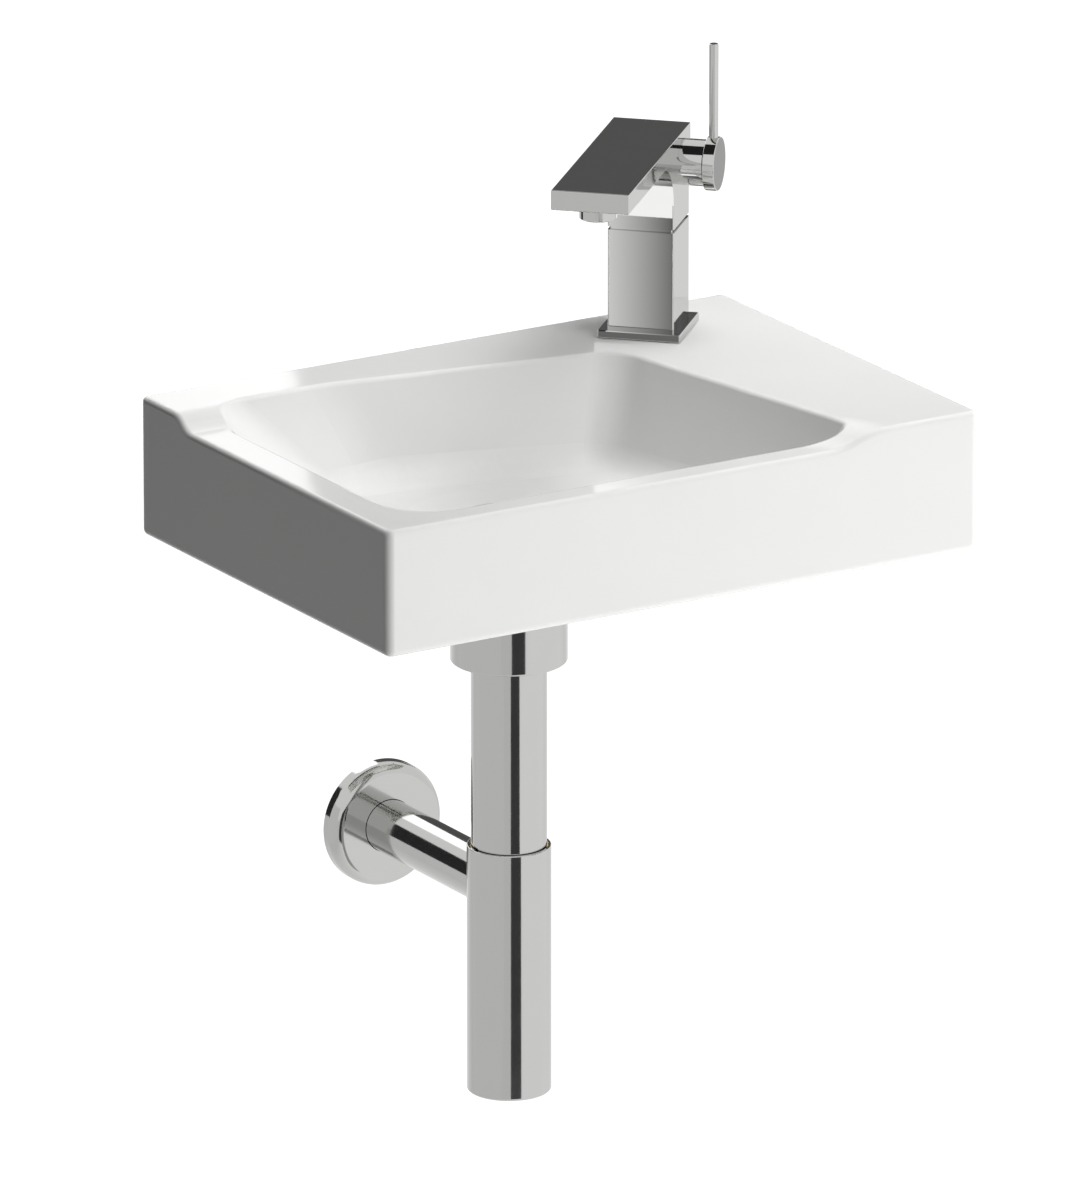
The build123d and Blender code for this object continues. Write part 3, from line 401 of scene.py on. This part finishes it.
def thread_tree():
    """Bends a grid into a closed screw thread that stands on the Z axis."""
    end_share = 0.00001
    weld = 0.000005
    tree = bpy.data.node_groups.new("screw_thread", "GeometryNodeTree")
    for name in ("Radius", "Depth", "Pitch", "Length", "Point"):
        tree.interface.new_socket(name=name, in_out="INPUT", socket_type="NodeSocketFloat")
    for name in ("Around", "Rows"):
        tree.interface.new_socket(name=name, in_out="INPUT", socket_type="NodeSocketInt")
    tree.interface.new_socket(name="Material", in_out="INPUT",
                              socket_type="NodeSocketMaterial")
    tree.interface.new_socket(name="Thread", in_out="OUTPUT",
                              socket_type="NodeSocketGeometry")
    given = tree.nodes.new("NodeGroupInput").outputs
    grid = add(tree, "GeometryNodeMeshGrid", {
        "Size X": 1.0, "Size Y": 1.0, "Vertices X": given["Around"],
        "Vertices Y": given["Rows"]}).outputs["Mesh"]
    place = tree.nodes.new("GeometryNodeInputPosition").outputs[0]
    axes = add(tree, "ShaderNodeSeparateXYZ", {0: place}).outputs
    turn = calc(tree, "ADD", axes["X"], 0.5)
    share = calc(tree, "ADD", axes["Y"], 0.5)
    height = calc(tree, "MULTIPLY", share, given["Length"])
    left = calc(tree, "SUBTRACT", given["Length"], height)
    phase = calc(tree, "SUBTRACT", calc(tree, "DIVIDE", height, given["Pitch"]), turn)
    valley = calc(tree, "MULTIPLY", calc(tree, "PINGPONG", phase, 0.5), 2.0)
    radius = calc(tree, "SUBTRACT", given["Radius"],
                  calc(tree, "MULTIPLY", valley, given["Depth"]))
    core = calc(tree, "SUBTRACT", given["Radius"], given["Depth"])
    radius = calc(tree, "MINIMUM", radius, calc(tree, "ADD", core, height))
    slope = calc(tree, "DIVIDE", given["Radius"], given["Point"])
    radius = calc(tree, "MINIMUM", radius, calc(tree, "MULTIPLY", left, slope))
    inside = calc(tree, "MULTIPLY", calc(tree, "GREATER_THAN", share, end_share),
                  calc(tree, "LESS_THAN", share, 1 - end_share))
    radius = calc(tree, "MULTIPLY", radius, inside)
    angle = calc(tree, "MULTIPLY", turn, 2 * pi)
    bent = add(tree, "ShaderNodeCombineXYZ", {
        0: calc(tree, "MULTIPLY", radius, calc(tree, "COSINE", angle)),
        1: calc(tree, "MULTIPLY", radius, calc(tree, "SINE", angle)), 2: height}).outputs[0]
    moved = add(tree, "GeometryNodeSetPosition", {"Geometry": grid, "Position": bent}).outputs[0]
    closed = add(tree, "GeometryNodeMergeByDistance", {
        "Geometry": moved, "Distance": weld}).outputs[0]
    real = add(tree, "GeometryNodeRealizeInstances", {"Geometry": closed}).outputs[0]
    dressed = add(tree, "GeometryNodeSetMaterial", {
        "Geometry": real, "Material": given["Material"]}).outputs[0]
    tree.links.new(dressed, tree.nodes.new("NodeGroupOutput").inputs[0])
    return tree


def thread(tree, material, radius, depth, pitch, length, point):
    """One screw thread as a plain mesh, whose last stretch, point long, narrows to a tip."""
    around = 41
    rows_per_turn = 8
    mesh = bpy.data.meshes.new("thread")
    obj = bpy.data.objects.new("thread", mesh)
    bpy.context.scene.collection.objects.link(obj)
    modifier = obj.modifiers.new("thread", "NODES")
    modifier.node_group = tree
    values = {"Radius": radius, "Depth": depth, "Pitch": pitch, "Length": length,
              "Point": point, "Around": around, "Material": material,
              "Rows": int(length / pitch * rows_per_turn) + 2}
    for item in tree.interface.items_tree:
        if item.in_out == "INPUT":
            modifier[item.identifier] = values[item.name]
    bpy.context.view_layer.update()
    made = bpy.data.meshes.new_from_object(obj.evaluated_get(
        bpy.context.evaluated_depsgraph_get()))
    obj.modifiers.clear()
    bpy.data.objects.remove(obj)
    return made


def joined(name, parts):
    """One piece from meshes and the places that they go to."""
    shape = bmesh.new()
    for mesh, place in parts:
        start = len(shape.verts)
        shape.from_mesh(mesh)
        shape.verts.ensure_lookup_table()
        bmesh.ops.transform(shape, matrix=place, verts=shape.verts[start:])
    bmesh.ops.recalc_face_normals(shape, faces=shape.faces)
    merged = bpy.data.meshes.new(name)
    shape.to_mesh(merged)
    shape.free()
    for material in parts[0][0].materials:
        merged.materials.append(material)
    obj = bpy.data.objects.new(name, merged)
    bpy.context.scene.collection.objects.link(obj)
    return obj


def finish(material, *nodes):
    """Gives the CAD nodes one finish."""
    for name in nodes:
        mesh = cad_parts[name].data
        mesh.materials.clear()
        mesh.materials.append(material)


class SINK_OT_basin(Operator):
    """Gives the basin its white glaze and its bare back and foot"""
    bl_idname = "sink.basin"
    bl_label = "Basin"

    def execute(self, context):
        finish(glaze_material(context.scene.sink_glaze), "basin")
        return {"FINISHED"}


class SINK_OT_tap(Operator):
    """Gives the tap's outside its chrome plate"""
    bl_idname = "sink.tap"
    bl_label = "Tap"

    def execute(self, context):
        look = context.scene.sink_chrome
        hairlines = (1, 1, 0.1)
        chrome = chrome_material("tap_chrome_plate", look.tap_colour, look.tap_roughness,
                                 look.smear, hairlines)
        finish(chrome, "tap_base_plate", "tap_column", "tap_gap_ring", "tap_spout",
               "aerator_housing", "cartridge_neck", "handle_cap", "lever_pin")
        return {"FINISHED"}


class SINK_OT_trap(Operator):
    """Gives the trap, the outlet pipe, the rosette and the waste their chrome plate"""
    bl_idname = "sink.trap"
    bl_label = "Trap and waste"

    def execute(self, context):
        look = context.scene.sink_chrome
        hairlines = (1, 1, 0.05)
        chrome = chrome_material("trap_chrome_plate", look.trap_colour, look.trap_roughness,
                                 look.smear, hairlines)
        finish(chrome, "trap_collar", "sleeve_tube", "trap_body", "cleaning_plug",
               "outlet_pipe", "rosette", "waste_body", "waste_cover")
        return {"FINISHED"}


class SINK_OT_metal(Operator):
    """Gives the plain metal pieces their brass and zinc, and the bolts their threads"""
    bl_idname = "sink.metal"
    bl_label = "Brass and steel pieces"

    def execute(self, context):
        look = context.scene.sink_metal
        brass, zinc = brass_material(look), zinc_material(look)
        finish(brass, "waste_nut", "dip_tube", "trap_lid", "clamp_ring", "tap_nut")
        finish(zinc, "fixing_washers", "fixing_nuts", "pivot_pin", "lever_stem", "grub_screw",
               "steel_horseshoe")
        self.hanger_bolts(look, zinc)
        self.tap_stud(look, brass)
        return {"FINISHED"}

    def hanger_bolts(self, look, zinc):
        """Metric thread for the nut, and a deep pointed thread for the wall plug."""
        # The metric part's radius is this much smaller than the radius in the wall
        slimmer = 0.0002
        tree = thread_tree()
        radius = (bolts_high.z - bolts_low.z) / 2
        metric = thread(tree, zinc, radius - slimmer, depth=0.0009, pitch=look.metric_pitch,
                        length=-bolts_low.y, point=0.0002)
        wood = thread(tree, zinc, radius, depth=0.0013, pitch=look.wood_pitch,
                      length=bolts_high.y, point=0.009)
        along = Matrix.Rotation(radians(-90), 4, "X")
        parts = []
        for middle in (bolts_low.x + radius, bolts_high.x - radius):
            parts.append((metric, Matrix.Translation((middle, bolts_low.y, 0)) @ along))
            parts.append((wood, Matrix.Translation((middle, 0, 0)) @ along))
        piece = joined("hanger_bolts_threaded", parts)
        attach(piece, "root")
        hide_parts("hanger_bolts")

    def tap_stud(self, look, brass):
        """The stud's thread from its lower end to the tap's foot."""
        radius = (stud_high.x - stud_low.x) / 2
        rod = thread(thread_tree(), brass, radius, depth=0.0007, pitch=look.stud_pitch,
                     length=stud_high.z - stud_low.z, point=0.0002)
        middle = (stud_low + stud_high) / 2
        place = Matrix.Translation((middle.x, middle.y, stud_low.z))
        piece = joined("tap_stud_threaded", [(rod, place)])
        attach(piece, "root")
        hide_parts("tap_stud")


class SINK_OT_seals(Operator):
    """Gives the seals, the plastic pieces and the ceramic discs their finishes"""
    bl_idname = "sink.seals"
    bl_label = "Seals, plastic and discs"

    def execute(self, context):
        look = context.scene.sink_plastic
        white_roughness, grey_roughness = 0.42, 0.38
        finish(rubber_material(look), "waste_upper_seal", "waste_lower_seal",
               "trap_inlet_seal", "lid_seal", "dip_tube_seal", "plug_seal", "outlet_grommet",
               "rosette_ring", "tap_base_seal", "aerator_seal", "cartridge_seals",
               "rubber_horseshoe")
        finish(plastic_material("white_moulded_plastic", look.white_colour, look,
                                white_roughness),
               "waste_washer", "fixing_bushes", "spindle")
        finish(plastic_material("grey_moulded_plastic", look.grey_colour, look,
                                grey_roughness),
               "aerator_insert", "cartridge")
        finish(disc_material(look), "fixed_disc", "moving_disc")
        return {"FINISHED"}


def direction(heading, height):
    """A unit vector: heading turns from the user's side to the right, height goes up."""
    return Vector((sin(heading) * cos(height), -cos(heading) * cos(height), sin(height)))


def aimed(obj, place, target):
    """Places a lamp or a card and turns its face to a point."""
    obj.location = place
    obj.rotation_euler = (target - place).to_track_quat("-Z", "Y").to_euler()
    bpy.context.scene.collection.objects.link(obj)
    return obj


def soft_lamp(name, target, heading, height, distance, size, brightness):
    """A square lamp that gives a white surface at its target the given brightness."""
    lamp = bpy.data.lights.new(name, "AREA")
    lamp.shape = "SQUARE"
    lamp.size = size
    lamp.energy = brightness * pi * pi * distance * distance
    place = target + direction(heading, height) * distance
    obj = aimed(bpy.data.objects.new(name, lamp), place, target)
    obj.visible_camera = obj.visible_glossy = False


def rectangle(name, material, width, depth, level=0.0):
    """A flat mesh round the Z axis."""
    mesh = bpy.data.meshes.new(name)
    x, y = width / 2, depth / 2
    mesh.from_pydata([(-x, -y, level), (x, -y, level), (x, y, level), (-x, y, level)],
                     [], [(0, 1, 2, 3)])
    mesh.materials.append(material)
    return bpy.data.objects.new(name, mesh)


def card(name, tones, target, heading, height, distance, width, rise):
    """A card, width by rise, that only shows in reflections, shaded from left to right."""
    material, tree, place = new_material(name)
    across = add(tree, "ShaderNodeSeparateXYZ", {"Vector": place}).outputs["X"]
    shade = between(tree, across, *tones, start=-width / 2, end=width / 2)
    close_material(tree, add(tree, "ShaderNodeEmission",
                             {"Color": (1, 1, 1, 1), "Strength": shade}))
    spot = target + direction(heading, height) * distance
    obj = aimed(rectangle(name, material, width, rise), spot, target)
    obj.visible_camera = obj.visible_diffuse = obj.visible_shadow = False
    obj.visible_transmission = False


def middle_of(node):
    """The middle of a CAD node's box."""
    low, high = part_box(node)
    return (low + high) / 2


def half_side(node):
    """Half the side of a square node of the tap, which stands turned by 45 degrees."""
    low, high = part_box(node)
    return (high.x - low.x) / 2 / sqrt(2)


def white_rays(tree):
    """1 for the rays of the camera, of reflections and through glass."""
    path = add(tree, "ShaderNodeLightPath").outputs
    total = path["Is Camera Ray"]
    for other in ("Is Glossy Ray", "Is Transmission Ray"):
        total = calc(tree, "MAXIMUM", total, path[other])
    return total


class SINK_OT_stage(Operator):
    """Sets up the floor, the white surround, the lamps, the cards and the camera"""
    bl_idname = "sink.stage"
    bl_label = "Stage"

    def execute(self, context):
        look = context.scene.sink_studio
        aim = middle_of("basin")
        self.surround(context, look)
        self.floor(look)
        soft_lamp("key_lamp", aim, heading=radians(25), height=radians(38), distance=9.0,
                  size=6.0, brightness=look.key_strength)
        soft_lamp("side_lamp", aim, heading=radians(95), height=radians(68), distance=0.7,
                  size=0.28, brightness=look.side_strength)
        self.round_cards(look.camera_heading, look.camera_height, aim)
        self.pipe_cards()
        self.handle_cards(look.camera_heading, look.camera_height)
        self.column_cards(look.camera_heading, look.camera_height)
        self.camera(context, look)
        context.scene.view_settings.view_transform = "Standard"
        return {"FINISHED"}

    def round_cards(self, heading, height, aim):
        """Cards round the object that paint reflections: the bands on its tubes and the spout's
        top.
        """
        below = 0.06
        bottom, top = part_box("trap_body")[0].z - below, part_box("aerator_housing")[1].z
        middle = Vector((aim.x, aim.y, (bottom + top) / 2))
        card("slit_card", (0.06, 0.06), middle, heading=radians(17) - heading, height=-height,
             distance=1.1, width=0.49, rise=(top - bottom) * cos(height))
        card("left_card", (0.8, 0.8), aim, heading=radians(-65) - heading, height=-height,
             distance=1.15, width=2.4, rise=1.3)
        card("top_card", (0.12, 0.12), aim, heading=radians(180) - heading, height=height,
             distance=3.0, width=3.0, rise=0.9)
        card("back_card", (0.1, 0.1), aim, heading=radians(180) - heading, height=-height,
             distance=1.2, width=0.25, rise=1.3)

    def pipe_cards(self):
        """Painted reflections: cards for the dark and the bright band along the outlet pipe."""
        pipe = middle_of("outlet_pipe")
        card("pipe_dark_card", (0.03, 0.03), pipe, heading=radians(-148), height=radians(13),
             distance=1.2, width=0.5, rise=0.62)
        card("pipe_bright_card", (1.9, 1.9), pipe, heading=radians(167), height=radians(34),
             distance=1.2, width=0.5, rise=0.9)

    def handle_cards(self, heading, height):
        """Cards that paint a dark reflection on the top of the handle's neck and a grey
        reflection on the face of its disc.
        """
        card("neck_card", (0.02, 0.02), middle_of("cartridge_neck"), heading=radians(-90),
             height=radians(70), distance=0.8, width=0.5, rise=1.2)
        low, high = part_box("handle_cap")
        # Half the thickness of the disc, which stands turned by 45 degrees
        cap_half = (high.x - low.x) / sqrt(2) - (high.z - low.z) / 2
        face = middle_of("handle_cap") + direction(radians(45), 0) * cap_half
        card("disc_card", (0.5, 0.5), face, heading=radians(90) + heading, height=-height,
             distance=0.05, width=0.012, rise=0.034)

    def column_cards(self, heading, height):
        """Shaded cards just off the tap's front face, for the bands that it mirrors."""
        gap, plate_gap, width = 0.012, 0.0015, 0.05
        band_rise, head_rise = 0.0098, 0.0084
        front = radians(-45)
        # How far a mirrored ray sinks between the face and its card
        drop = gap * tan(height) / cos(front + heading)
        plate_low, plate_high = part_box("tap_base_plate")
        column_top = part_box("tap_column")[1].z - drop
        levels = (plate_low.z, column_top, column_top + band_rise,
                  column_top + band_rise + head_rise)
        tones = {"column_card": (1.08, 0.13), "band_card": (1.1, 0.02),
                 "head_card": (1.6, 1.6)}
        axis = middle_of("tap_column")
        for (name, shades), bottom, top in zip(tones.items(), levels, levels[1:]):
            middle = Vector((axis.x, axis.y, (bottom + top) / 2))
            card(name, shades, middle, heading=front, height=0, width=width, rise=top - bottom,
                 distance=half_side("tap_column") + gap)
        card("plate_card", (0.22, 0.22), middle_of("tap_base_plate"), heading=front, height=0,
             width=width, rise=plate_high.z - plate_low.z,
             distance=half_side("tap_base_plate") + plate_gap)

    def surround(self, context, look):
        """White to the camera and in reflections, and a soft light blocked on the left."""
        softness, right_share = 0.1, 0.35
        world = bpy.data.worlds.new("white_surround")
        context.scene.world = world
        world.use_nodes = True
        tree = world.node_tree
        tree.nodes.clear()
        way = add(tree, "ShaderNodeTexCoord").outputs["Object"]
        side = add(tree, "ShaderNodeSeparateXYZ", {"Vector": way}).outputs["X"]
        edge = -cos(look.flag)
        soft = calc(tree, "MULTIPLY",
                    between(tree, side, 0, look.fill, start=edge - softness,
                            end=edge + softness),
                    between(tree, side, 1, right_share, start=0.25, end=0.8))
        strength = blended(tree, white_rays(tree), soft, 1.0)
        glow = add(tree, "ShaderNodeBackground", {"Color": (1, 1, 1, 1), "Strength": strength})
        add(tree, "ShaderNodeOutputWorld", {"Surface": glow.outputs[0]})

    def floor(self, look):
        """A pale floor, painted dark and unlit on the left and glowing at the front, that looks
        white and keeps the shadow.
        """
        size, cloud_width = 24.0, 0.4
        dark = (0.05, 0.05, 0.05, 1)
        dull_pale, light_pale = (0.8, 0.8, 0.79, 1), (0.84, 0.84, 0.83, 1)
        back_share, white_share = 0.3, 0.85
        mirrored_white, seen_white = 0.9, 1.18
        material, tree, place = new_material("pale_floor")
        pale = mixed(tree, grain(tree, place, cloud_width), dull_pale, light_pale)
        axes = add(tree, "ShaderNodeSeparateXYZ", {"Vector": place}).outputs
        # Painted shade and light: the floor's colour turns dark towards the left, and its glow,
        # which lights the object from below, is strongest at the front and on the right.
        right = between(tree, axes["X"], 0, 1, start=-0.7, end=0.1)
        tone = mixed(tree, right, dark, pale)
        front = between(tree, axes["Y"], look.floor_glow, look.floor_glow * back_share,
                        start=-0.3, end=0.6)
        glow = add(tree, "ShaderNodeEmission", {
            "Color": (1, 1, 1, 1), "Strength": calc(tree, "MULTIPLY", right, front)})
        plain = add(tree, "ShaderNodeAddShader", {
            0: add(tree, "ShaderNodeBsdfDiffuse", {"Color": tone}).outputs[0],
            1: glow.outputs[0]})
        seen = add(tree, "ShaderNodeLightPath").outputs["Is Camera Ray"]
        white = add(tree, "ShaderNodeEmission", {
            "Color": (1, 1, 1, 1),
            "Strength": between(tree, seen, mirrored_white, seen_white)})
        close_material(tree, add(tree, "ShaderNodeMixShader", {
            0: between(tree, white_rays(tree), 0, white_share), 1: plain.outputs[0],
            2: white.outputs[0]}))
        obj = rectangle("floor", material, size, size, level=-look.floor_drop)
        bpy.context.scene.collection.objects.link(obj)

    def camera(self, context, look):
        """A long lens at the photograph's angle."""
        back = direction(-look.camera_heading, look.camera_height)
        right = Vector((cos(look.camera_heading), -sin(look.camera_heading), 0))
        up = back.cross(right)
        data = bpy.data.cameras.new("photo_camera")
        data.sensor_width = 36.0
        data.lens = look.pixels_per_metre * look.camera_distance / frame_rows * data.sensor_width
        data.clip_start, data.clip_end = 1.0, 100.0
        obj = bpy.data.objects.new("photo_camera", data)
        turn = Matrix((right, up, back)).transposed().to_4x4()
        place = Vector(look.camera_aim) + back * look.camera_distance
        obj.matrix_world = Matrix.Translation(place) @ turn
        context.scene.collection.objects.link(obj)
        context.scene.camera = obj


class SINK_PT_panel(Panel):
    """One button for each operator, and the settings of every look"""
    bl_idname = "SINK_PT_panel"
    bl_label = "Hand-rinse basin"
    bl_space_type = "VIEW_3D"
    bl_region_type = "UI"
    bl_category = "Sink"

    def draw(self, context):
        for operator in operators:
            self.layout.operator(operator.bl_idname)
        for name in looks:
            group = getattr(context.scene, name)
            box = self.layout.box()
            for key in group.bl_rna.properties.keys():
                if key not in ("name", "rna_type"):
                    box.prop(group, key)


operators = (SINK_OT_basin, SINK_OT_tap, SINK_OT_trap, SINK_OT_metal, SINK_OT_seals,
             SINK_OT_stage)
looks = {"sink_glaze": GlazeLook, "sink_chrome": ChromeLook, "sink_metal": MetalLook,
         "sink_plastic": PlasticLook, "sink_studio": StudioLook}


def register():
    for cls in (*looks.values(), *operators, SINK_PT_panel):
        bpy.utils.register_class(cls)
    for name, cls in looks.items():
        setattr(bpy.types.Scene, name, PointerProperty(type=cls))


def unregister():
    for name in looks:
        delattr(bpy.types.Scene, name)
    for cls in (SINK_PT_panel, *reversed(operators), *reversed(tuple(looks.values()))):
        bpy.utils.unregister_class(cls)


def main():
    """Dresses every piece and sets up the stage."""
    register()
    for operator in operators:
        group, call = operator.bl_idname.split(".")
        getattr(getattr(bpy.ops, group), call)()


if __name__ == "__main__":
    main()
